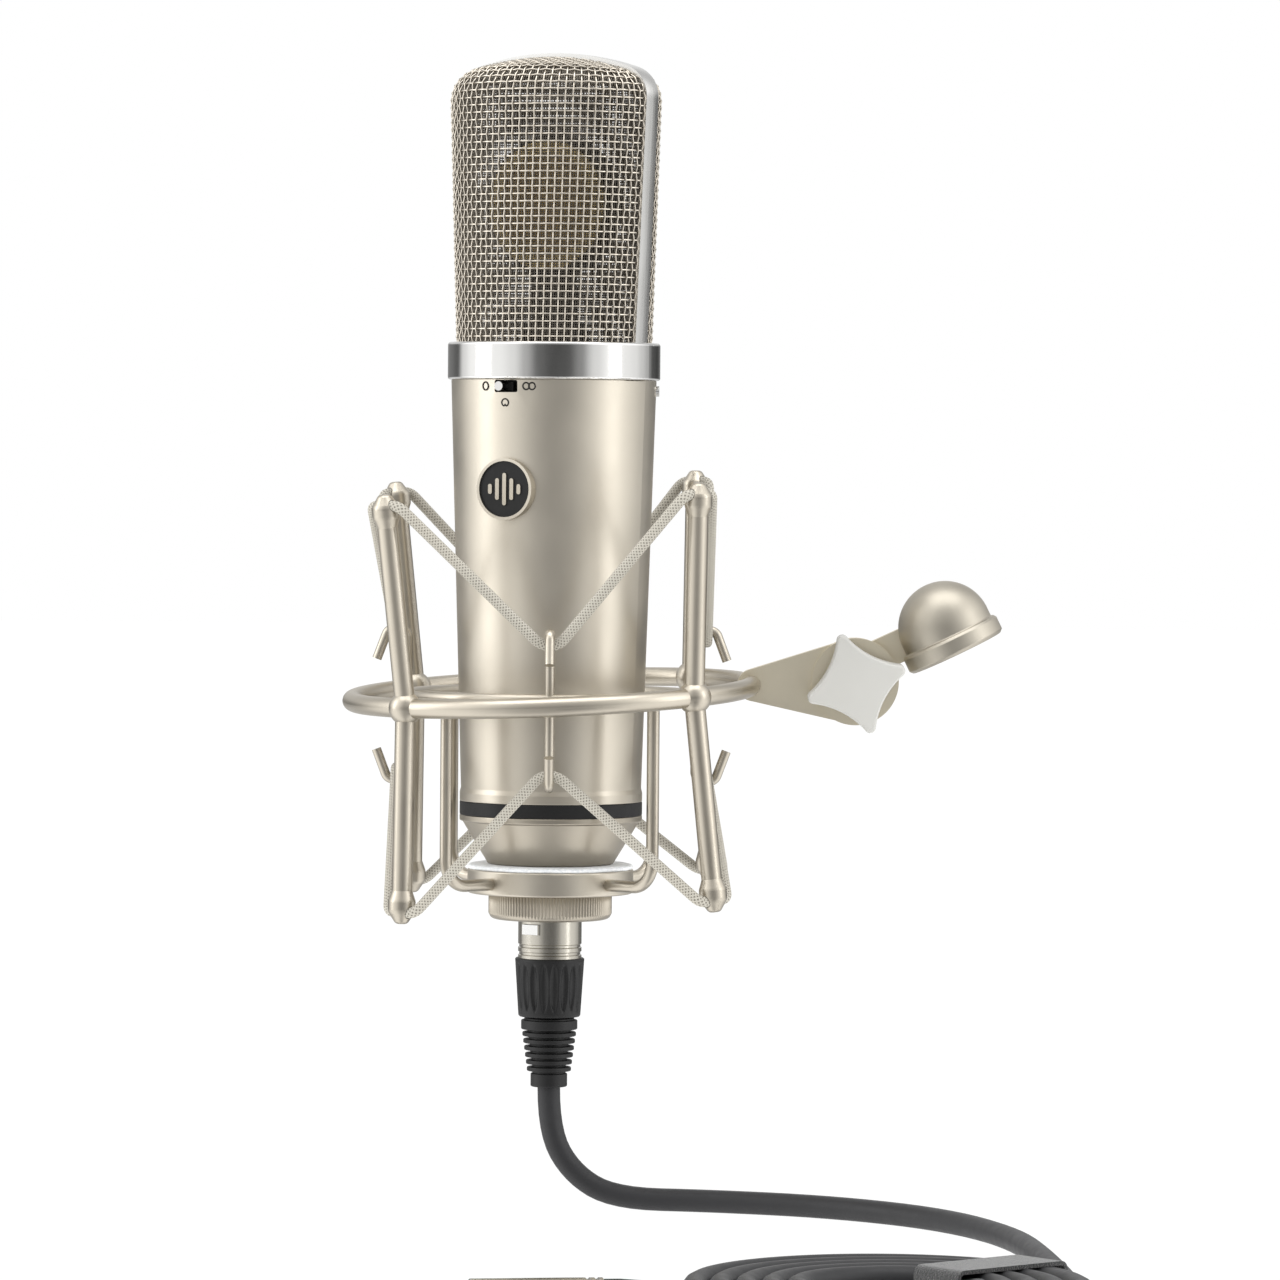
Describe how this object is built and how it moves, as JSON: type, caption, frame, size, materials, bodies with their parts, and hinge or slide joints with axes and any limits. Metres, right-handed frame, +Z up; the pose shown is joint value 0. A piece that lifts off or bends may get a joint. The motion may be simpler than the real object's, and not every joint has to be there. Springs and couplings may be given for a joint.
{
  "type": "studio microphone in shock mount",
  "caption": "Side-address large-capsule studio microphone hung by elastic loops in an open ring cage, with stand swivel, clamp knob and signal cable.",
  "frame": {"origin": "centre of the mouth of the swivel's stand thread", "axes": "+X to the user's right, from the microphone towards the stand; -Y towards the user; +Z up along the microphone"},
  "size_m": [0.1848, 0.364, 0.305],
  "materials": {
    "satin_nickel": "satin nickel plating",
    "polished_steel": "polished",
    "wire_mesh": "woven nickel-plated wire",
    "black_trim": "fine grained black",
    "emblem_metal": "satin",
    "switch_lever": "polished",
    "black_plastic": "matt",
    "capsule_brass": "turned",
    "gold_foil": "sputtered gold film",
    "chassis_metal": "zinc plated",
    "board": "solder mask",
    "electronics": "moulded",
    "felt": "pressed felt",
    "elastic_cord": "braided sleeve",
    "knob_plastic": "fine matt moulding",
    "plug_metal": "nickel plated",
    "plug_rubber": "satin moulded rubber",
    "cable_jacket": "matt jacket",
    "tie_fabric": "hook and loop"
  },
  "bodies": {
    "swivel": {"swivel_dome": "satin_nickel", "thread_insert": "chassis_metal", "swivel_neck": "satin_nickel", "clamp_screw": "polished_steel", "knuckle_washers": "polished_steel"},
    "cage": {"cage_ring": "satin_nickel", "cage_posts": "satin_nickel", "elastic_saddles": "satin_nickel", "arm_plate": "satin_nickel", "upper_elastic": "elastic_cord", "lower_elastic": "elastic_cord"},
    "microphone": {"body_tube": "satin_nickel", "base_trim": "black_trim", "base_bell": "satin_nickel", "head_ring": "polished_steel", "head_bow": "polished_steel", "grille_front": "wire_mesh", "grille_rear": "wire_mesh", "mesh_liner": "wire_mesh", "head_deck": "black_plastic", "capsule_mount": "black_plastic", "capsule_backplate": "capsule_brass", "capsule_clamp_rings": "capsule_brass", "capsule_diaphragms": "gold_foil", "capsule_screws": "capsule_brass", "chassis_rails": "chassis_metal", "chassis_floor": "black_plastic", "circuit_board": "board", "board_components": "electronics", "output_transformer": "electronics", "switch_bodies": "black_plastic", "badge_rim": "satin_nickel", "badge_face": "black_trim", "badge_emblem": "emblem_metal", "ring_screws": "polished_steel", "output_insert": "black_plastic", "output_pins": "capsule_brass", "felt_washer": "felt", "cradle_flange": "satin_nickel", "cradle_ring": "satin_nickel", "cradle_legs": "satin_nickel", "elastic_hooks": "satin_nickel", "plug_shell": "plug_metal", "plug_insert": "black_plastic", "plug_boot": "plug_rubber", "strain_relief": "plug_rubber", "cable_runs": "cable_jacket", "cable_coil": "cable_jacket", "cable_tie": "tie_fabric", "far_strain_relief": "plug_rubber", "far_plug_boot": "plug_rubber", "far_plug_shell": "plug_metal", "far_plug_insert": "black_plastic", "far_plug_pins": "capsule_brass"},
    "knob": {"star_knob": "knob_plastic"},
    "nut": {"retaining_nut": "satin_nickel"},
    "pattern_slider": {"pattern_switch_slider": "switch_lever"},
    "pad_slider": {"pad_switch_slider": "switch_lever"},
    "lowcut_slider": {"lowcut_switch_slider": "switch_lever"},
    "latch": {"plug_latch": "polished_steel"}
  },
  "joints": [
    {"name": "arm_tilt", "type": "hinge", "parent": "swivel", "child": "cage", "pos_m": [-0.02688, 0, -0.00767], "axis": [-0.0017, 0.9993, 0.0366], "range_deg": [-40, 65]},
    {"name": "suspension_bounce", "type": "slide", "parent": "cage", "child": "microphone", "axis": [0, 0, 1], "range_m": [-0.005, 0.005], "stiffness_N_per_m": 3000, "springref_m": 0.00307, "deforming": ["upper_elastic", "lower_elastic"]},
    {"name": "knob_turn", "type": "hinge", "parent": "swivel", "child": "knob", "pos_m": [-0.02688, 0, -0.00767], "axis": [0.0017, -0.9993, -0.0366], "continuous": true},
    {"name": "nut_turn", "type": "hinge", "parent": "microphone", "child": "nut", "pos_m": [-0.1069, 0, -0.0676], "axis": [0, 0, 1], "continuous": true},
    {"name": "pattern_switch", "type": "slide", "parent": "microphone", "child": "pattern_slider", "axis": [0.891, -0.454, 0], "range_m": [0, 0.003]},
    {"name": "pad_switch", "type": "slide", "parent": "microphone", "child": "pad_slider", "axis": [-0.9744, 0.225, 0], "range_m": [0, 0.0022]},
    {"name": "lowcut_switch", "type": "slide", "parent": "microphone", "child": "lowcut_slider", "axis": [-0.7547, 0.6561, 0], "range_m": [0, 0.0022]},
    {"name": "plug_latch_press", "type": "slide", "parent": "microphone", "child": "latch", "axis": [0.5736, 0.8192, 0], "range_m": [0, 0.0008], "stiffness_N_per_m": 500}
  ]
}
